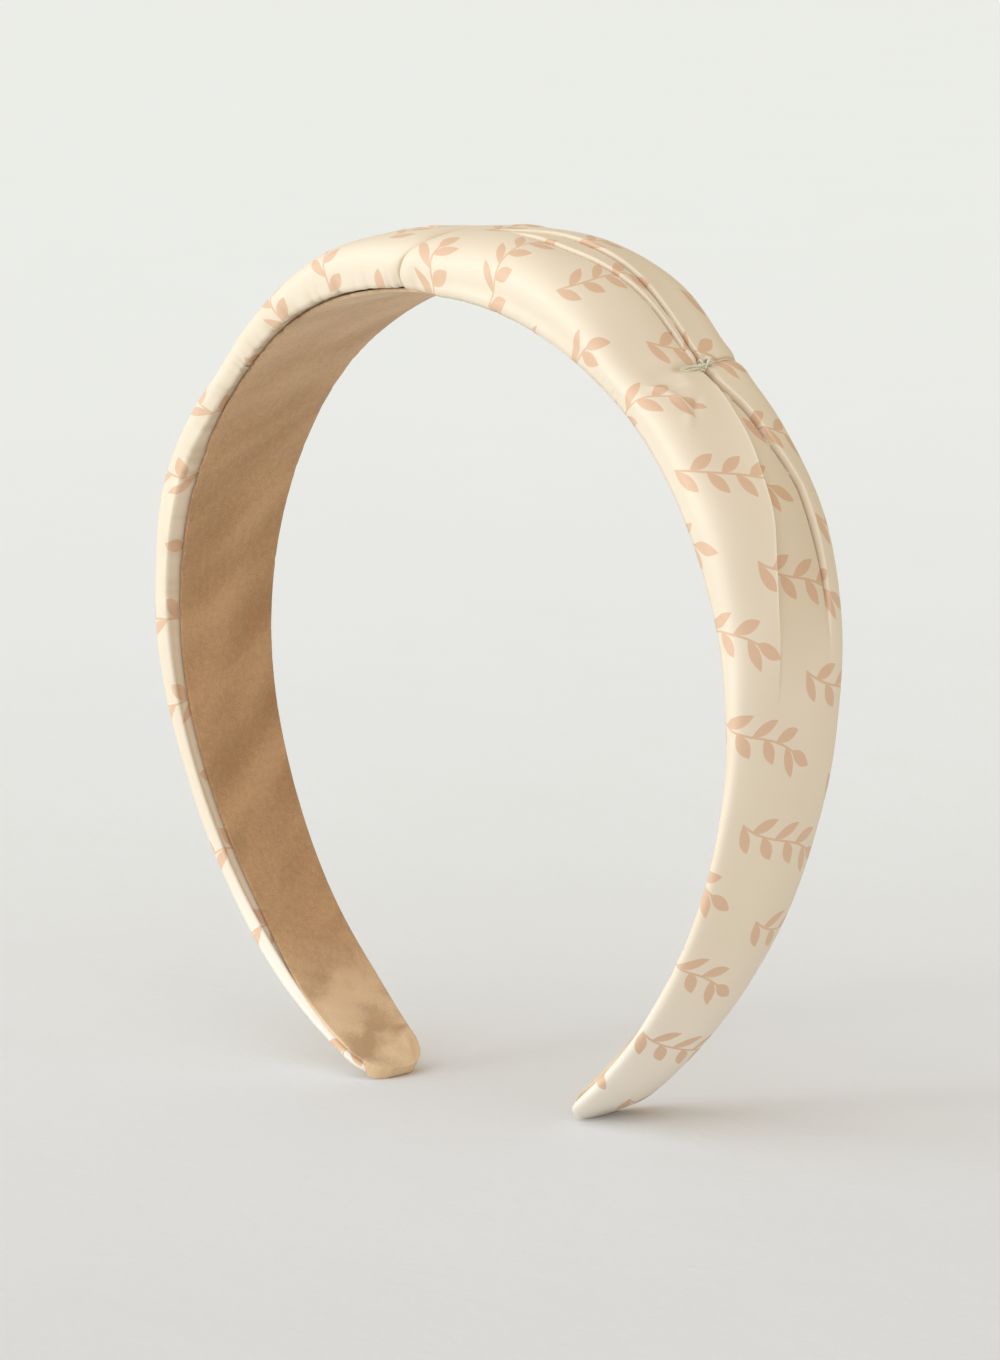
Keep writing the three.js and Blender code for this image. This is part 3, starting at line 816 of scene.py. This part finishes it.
def on_skin(s, g, standoff=0.0, line=None):
    """Points standoff above the sewn cover's outer skin, with the folds' lift and shade."""
    line = line or outlines(s)
    along, across, lift, shade = folds(s, g, line)
    y, n, ny, nn = sample(line, g + across)
    out = lift + standoff
    return place(s[:, None] + along, y + ny * out, n + nn * out), lift, shade


def satin_cover(material):
    """The cover as one closed cloth, with its flat size and area."""
    s = stations(COVER_END, 0.26, 0.72, 1.1)
    s = np.concatenate([[WRAP], s[s > WRAP + 0.1]])
    line = outlines(s)
    back, front = pleat_lines(s, line)
    middle = (front + back) / 2
    g = np.concatenate([
        columns(-line.end, -line.hem, 4), columns(-line.hem, -line.top, 8),
        columns(-line.top, front, 36, -1.5), columns(front, middle, 10, 1.6),
        columns(middle, back, 10, -1.6), columns(back, line.top, 34, 1.6),
        columns(line.top, line.hem, 8), columns(line.hem, line.end, 4), line.end], 1)
    outer, lift, shade = on_skin(s, g, line=line)

    low = low_envelope(lift, 2)
    inner_g = columns(line.end, -line.end, 34)
    inner_lift = np.stack([np.interp(inner_g[i], g[i], low[i]) for i in range(len(s))])
    wide, top = half_width(s)[:, None], thickness(s)[:, None]
    cloth = np.minimum(CLOTH, 0.3 * (top - np.minimum(HEM_LEVEL, top - 0.1))) - inner_lift
    cloth = np.minimum(cloth, 0.3 * wide)
    y, n, ny, nn = sample(line, inner_g)
    inner = place(s[:, None], y - ny * cloth, n - nn * cloth)
    rings = np.concatenate([outer, inner], 1)
    uv = cloth_coordinates(s, np.concatenate([g, inner_g], 1), line)
    made = lofted("satin_cover_cloth", rings, material, uv)
    # painted shade for the folds on the outer skin, none on the inside
    note(made, "fold", np.concatenate([shade, np.zeros(inner_g.shape)], 1))
    girth = 2 * line.end[:, 0]
    width, length = girth.max() + 2 * HIDDEN_CLOTH, COVER_END - WRAP
    area = summed(girth + HIDDEN_CLOTH, s)
    return made, (width * MM, length * MM), area * MM * MM


def foam_pad(material):
    """The foam strip, which follows the cover's folds from below."""
    s = stations(FOAM_END - 0.3, 0.7, 1.5, 2.0)
    line = outlines(s)
    g = columns(-line.top, line.top, 44)
    _, _, lift, _ = folds(s, g, line)
    y, n, ny, nn = sample(line, g)
    inset = FOAM_INSET - low_envelope(lift, 2)
    side = half_width(s)[:, None] - FOAM_INSET - 0.2
    y = np.clip(y - ny * inset, -side, side)
    n = np.maximum(n - nn * inset, FOAM_LEVEL + 0.15)
    under = place(s[:, None], 0.985 * columns(side, -side, 12), FOAM_LEVEL)
    rings = np.concatenate([place(s[:, None], y, n), under], 1)
    return lofted("foam_pad_strip", rings, material)


def suede_lining(material):
    """The lining as one closed strip, with its flat size and area."""
    s = stations(LINING_END, 0.2, 0.9, 0.9)
    run, column = np.abs(s), s[:, None]
    wide = half_width(s)[:, None]
    near_tip = smooth(run, 150, 184)[:, None]
    wrapped = smooth(-column, 188.8, 191.2) # where the lining is folded over the left end
    edges = []
    for sign in (-1, 1):
        inset = lerp(LINING_INSET[sign], np.where(column < 0, 0, RIGHT_TIP_INSET), near_tip)
        gathers = LINING_GATHERS * notches(column, sign) * (1 - wrapped)
        edges.append(np.maximum(wide - inset + 0.3 * wrapped - gathers, 0.3 * wide))
    front, back = edges

    # round each section: the head side, the back edge, the hidden side and the front edge
    radius = LINING / 2
    thick = lerp(radius, 0.6 * radius, smooth(run, 170, 190))[:, None]
    turn = np.linspace(-math.pi / 2, math.pi / 2, 7)[None, 1:-1]
    groups = (columns(-front + radius, back - radius, 44), back - radius + radius * np.cos(turn),
              columns(back - radius, -front + radius, 14), -front + radius - radius * np.cos(turn))
    levels = (radius - thick, radius + thick * np.sin(turn),
              radius + thick, radius - thick * np.sin(turn))
    folded = 0.9 * thickness(s)[:, None] + 0.1 - LINING
    rim = wrapped * folded * np.array([[0, 0, 0.9, 1, 1]])
    block = smooth(-column, -WRAP - 0.1, 0.2 - WRAP) * folded
    y, n, rise = (np.concatenate([np.broadcast_to(a, b.shape) for a, b in zip(parts, groups)], 1)
                  for parts in (groups, levels, (0, rim, block, rim[:, ::-1])))

    inside = 1 - smooth(np.maximum(-y - front, y - back), -3, -0.6)
    ridges = 0.5 * waves(column - 0.8 * y, 0.25 * (y + column), 21, 6, 19, 6)
    wrinkles = waves(column + 0.25 * y, 0.3 * y, 23, 6, 7, 3)
    crumple = smooth(run, 150, 182)[:, None]
    relief = 0.36 * ridges + crumple * 0.25 * wrinkles
    relief = relief + sum(dent(column - d["s"], y - d["y"], d) for d in TIP_DENTS)
    n = np.where(n < radius, n - LINING_SINK - relief * inside, n + rise)
    uv = np.stack(np.broadcast_arrays(column, y), -1)
    made = lofted("suede_lining_strip", place(column, y, n), material, uv)
    # painted light on the lining: lighter towards the tips and under the crown
    painted_tip_crown_light = (0.85 * smooth(run, 158, 182) + 1.2 * bell(s, 45))[:, None]
    # painted light and shade from the lining's relief, and painted light near the tips
    note(made, "painted_relief_shading", relief * (1 + crumple) + 0.5 * crumple)
    note(made, "painted_tip_crown_light", np.broadcast_to(painted_tip_crown_light, relief.shape))
    width = (front + back)[:, 0]
    return made, (width.max() * MM, 2 * s[-1] * MM), summed(width, s) * MM * MM


# ---------------------------------------------------------------- threads

def spline(points, step=0.12):
    """A smooth line through points, with a point about every step."""
    p = np.asarray(points, float)
    p = np.concatenate([2 * p[:1] - p[1:2], p, 2 * p[-1:] - p[-2:-1]])
    out = []
    for a, b, c, d in zip(p, p[1:], p[2:], p[3:]):
        t = np.linspace(0, 1, max(2, int(np.linalg.norm(c - b) / step)) + 1)[:-1, None]
        out.append(0.5 * (2 * b + (c - a) * t + (2 * a - 5 * b + 4 * c - d) * t ** 2
                          + (3 * b - a - 3 * c + d) * t ** 3))
    return np.concatenate(out + [p[-2:-1]])


def across_line(line):
    """Two directions across a line at each of its points, that turn as little as they can."""
    way = np.gradient(line, axis=0)
    way /= np.linalg.norm(way, axis=1)[:, None]
    side = np.cross(way[0], (0.3, 0.5, 0.8))
    sides = []
    for w in way:
        side = side - w * side.dot(w)
        side /= np.linalg.norm(side)
        sides.append(side)
    sides = np.array(sides)
    return sides, np.cross(way, sides)


def tube(line, radius, sides=8):
    """Points and faces of a closed round tube along a line. radius may change along it."""
    u, v = across_line(line)
    turn = np.linspace(0, 2 * math.pi, sides, endpoint=False)[None, :, None]
    radius = np.broadcast_to(radius, len(line))[:, None, None]
    points = line[:, None] + radius * (np.cos(turn) * u[:, None] + np.sin(turn) * v[:, None])
    faces = ring_faces(len(line), sides)
    return points.reshape(-1, 3), [f[::-1] for f in faces]


def twisted(line, radius, plies, pitch, phase=0.0):
    """The plies of a twisted thread along a line, each as a tube."""
    u, v = across_line(line)
    run = np.concatenate([[0], np.cumsum(np.linalg.norm(np.diff(line, axis=0), axis=1))])
    ply = radius * math.sin(math.pi / plies) / (1 + math.sin(math.pi / plies))
    parts = []
    for i in range(plies):
        turn = (2 * math.pi * (run / pitch + i / plies) + phase)[:, None]
        middle = line + (radius - ply) * (np.cos(turn) * u + np.sin(turn) * v)
        parts.append(tube(middle, 1.12 * ply))
    return parts


def hairs(centre, count, seed, spread):
    """Loose fibres that stand out of a knot."""
    rng = np.random.default_rng(seed)
    parts = []
    for _ in range(count):
        start = centre + rng.normal(0, 1, 3) * spread
        way = rng.normal(0, 1, 3)
        way /= np.linalg.norm(way)
        bend = rng.normal(0, 0.5, 3)
        length = rng.uniform(0.5, 1.3)
        t = np.linspace(0, 1, 6)[:, None]
        line = start + length * (way * t + bend * t * t * HAIR_CURL)
        parts.append(tube(line, HAIR_RADIUS * (1 - 0.6 * t[:, 0]), 4))
    return parts


def joined(name, parts, material):
    """One thread piece from many tubes."""
    points, faces, count = [], [], 0
    for p, f in parts:
        points.append(p)
        faces += [[count + i for i in face] for face in f]
        count += len(p)
    return piece(name, np.concatenate(points), faces, material)


def beside_tie(side, offset, y, standoff):
    """Points at distances from a side tie's line along the band, y behind its middle line."""
    s = side * (SIDE_TIE + np.asarray(offset, float))
    line = outlines(s)
    g = girth_at(line, np.asarray(y, float)[:, None])
    s = s + side * (side_tie_line(g, line)[:, 0] - SIDE_TIE)
    turn = SIDE_TIE / CROWN_RADIUS
    out = np.array([side * math.sin(turn), 0, math.cos(turn)])
    return on_skin(s, g)[0][:, 0] + np.asarray(standoff, float)[:, None] * out


def tack(side, name, material):
    """The bar of stitches on a side tie: two strands side by side, one over them, and a knot."""
    parts = []
    y = np.linspace(TACK_FRONT, TACK_BACK, 9)
    bow = np.sin(np.linspace(0, math.pi, 9)) ** 0.5
    for offset, height, phase in TACK_STRANDS:
        wander = 0.1 * np.sin(y * 0.9 + phase)
        level = TACK_BED + height * bow - 1.3 * (1 - bow)
        line = spline(beside_tie(side, offset + wander, y, level))
        parts += twisted(line, 0.25, plies=3, pitch=1.3, phase=phase)
    turn = np.linspace(0, 2 * math.pi * KNOT_TURNS, 24)
    for behind, size, phase in KNOT_LOOPS:
        offset = size * np.cos(turn + phase)
        y = KNOT_Y + behind + 0.5 * np.sin(2 * turn + phase)
        level = TACK_BED + 0.45 + 0.6 * np.sin(turn + phase)
        line = spline(beside_tie(side, offset, y, level))
        parts += twisted(line, 0.22, plies=2, pitch=1.0, phase=phase)
    knot = beside_tie(side, [0], [KNOT_Y + 0.3], [TACK_BED + 0.4])[0]
    parts += hairs(knot, 90, 31 if side > 0 else 32, np.array([0.5, 0.8, 0.4]))
    bar = beside_tie(side, [0, 0], [TACK_FRONT + 1.5, 2.0], [TACK_BED + 0.3] * 2)
    for i, centre in enumerate(bar):
        parts += hairs(centre, 12, 41 + i, np.array([0.3, 1.2, 0.2]))
    return joined(name, parts, material)


def tie(s_at, name, material, start_y=None):
    """A tie's thread round the band: over its top, under the hems and back. With start_y it comes
    out of the cover that far behind the middle line, and runs under the cover before that."""
    line = outlines(np.full(60, float(s_at)))
    hem = line.hem[0, 0]
    first = -hem if start_y is None else girth_at(line, start_y)[0, 0]
    g = np.linspace(first, hem + 0.4, 60)[:, None]
    if start_y is None:
        s = crease_line(g, line)[:, 0]
    else:
        s = math.copysign(1, s_at) * side_tie_line(g, line)[:, 0]
    top = on_skin(s, g, THREAD_RADIUS * 0.4)[0][:, 0]
    inner = float(half_width(np.array([s_at]))[0]) - CORNER - 0.8
    under = place(float(s_at), np.linspace(inner, -inner, 30), HEM_LEVEL - 0.05)
    route = [top[:-1:3], under]
    if start_y is not None:
        rise = np.linspace(-outlines(s[:1]).hem[0, 0], first, 40)[:, None]
        depth = -HIDDEN_DEPTH * np.sin(np.linspace(0, math.pi, 40))[:, None]
        route.append(on_skin(s[:40], rise, depth)[0][2:, 0][::3])
    path = spline(np.concatenate(route), 0.2)
    return joined(name, twisted(path, THREAD_RADIUS * 1.1, plies=2, pitch=1.1), material)


# ---------------------------------------------------------------- floor, light and camera

def add_floor():
    mesh = bpy.data.meshes.new("floor")
    corners = [(FLOOR_HALF * x, FLOOR_HALF * y, 0) for x, y in ((-1, -1), (1, -1), (1, 1), (-1, 1))]
    mesh.from_pydata(corners, [], [(0, 1, 2, 3)])
    mesh.materials.append(floor_paint())
    floor = bpy.data.objects.new("floor", mesh)
    bpy.context.scene.collection.objects.link(floor)


def direction(turn, rise):
    """The direction towards something seen at a turn from the front and a rise, in radians."""
    level = math.cos(rise)
    return Vector((math.sin(turn) * level, -math.cos(turn) * level, math.sin(rise)))


def add_light():
    world = bpy.data.worlds.new("studio")
    world.use_nodes = True
    sky, links = world.node_tree.nodes, world.node_tree.links
    where = sky.new("ShaderNodeTexCoord").outputs["Generated"]
    toward = sky.new("ShaderNodeVectorMath")
    toward.operation = "DOT_PRODUCT"
    toward.inputs[1].default_value = SOFT_SIDE
    share = sky.new("ShaderNodeMapRange")
    share.inputs["From Min"].default_value = -1
    light = sky.new("ShaderNodeMix")
    light.data_type = "VECTOR"
    light.inputs[4].default_value = DIM_LIGHT
    light.inputs[5].default_value = SOFT_LIGHT
    links.new(where, toward.inputs[0])
    links.new(toward.outputs["Value"], share.inputs["Value"])
    links.new(share.outputs[0], light.inputs[0])
    links.new(light.outputs[1], sky["Background"].inputs["Color"])
    bpy.context.scene.world = world
    key = bpy.data.lights.new("key", "SUN")
    key.energy = KEY
    key.angle = math.radians(KEY_SIZE)
    key.color = KEY_COLOUR
    towards = direction(math.radians(KEY_TURN), math.radians(KEY_RISE))
    lamp = bpy.data.objects.new("key", key)
    lamp.rotation_euler = towards.to_track_quat("Z", "Y").to_euler()
    bpy.context.scene.collection.objects.link(lamp)
    bpy.context.scene.view_settings.view_transform = "Standard"


def add_camera():
    turn, rise, roll = (math.radians(a) for a in (CAMERA_TURN, CAMERA_RISE, CAMERA_ROLL))
    back = direction(turn, rise)
    right = Vector((math.cos(turn), math.sin(turn), 0))
    up = back.cross(right)
    aim = Vector((0, 0, CAMERA_AIM)) + right * CAMERA_SIDE + up * CAMERA_UP
    where = Matrix.Translation((aim + back * CAMERA_DISTANCE) * MM)
    x_axis = right * math.cos(roll) + up * math.sin(roll)
    y_axis = up * math.cos(roll) - right * math.sin(roll)
    data = bpy.data.cameras.new("camera")
    data.lens = CAMERA_LENS
    data.sensor_width = 36
    data.clip_end = 100
    camera = bpy.data.objects.new("camera", data)
    camera.matrix_world = where @ Matrix((x_axis, y_axis, back)).transposed().to_4x4()
    bpy.context.scene.collection.objects.link(camera)
    bpy.context.scene.camera = camera


add_camera()
add_light()
add_floor()

cotton = thread()
cover, cover_flat, cover_area = satin_cover(satin())
pad = foam_pad(foam())
lining, lining_flat, lining_area = suede_lining(suede())
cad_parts["spring_core"].material_slots[0].material = core_plastic()

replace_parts(cover, "satin_cover")
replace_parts(pad, "foam_pad")
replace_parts(lining, "suede_lining")
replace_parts(tie(CREASE, "crown_tie_thread", cotton), "crown_tie")
for side, word in ((-1, "left"), (1, "right")):
    thread_piece = tie(side * SIDE_TIE, word + "_tie_thread", cotton, SIDE_TIE_START)
    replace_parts(thread_piece, word + "_tie")
    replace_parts(tack(side, word + "_tack_stitches", cotton), word + "_tack")
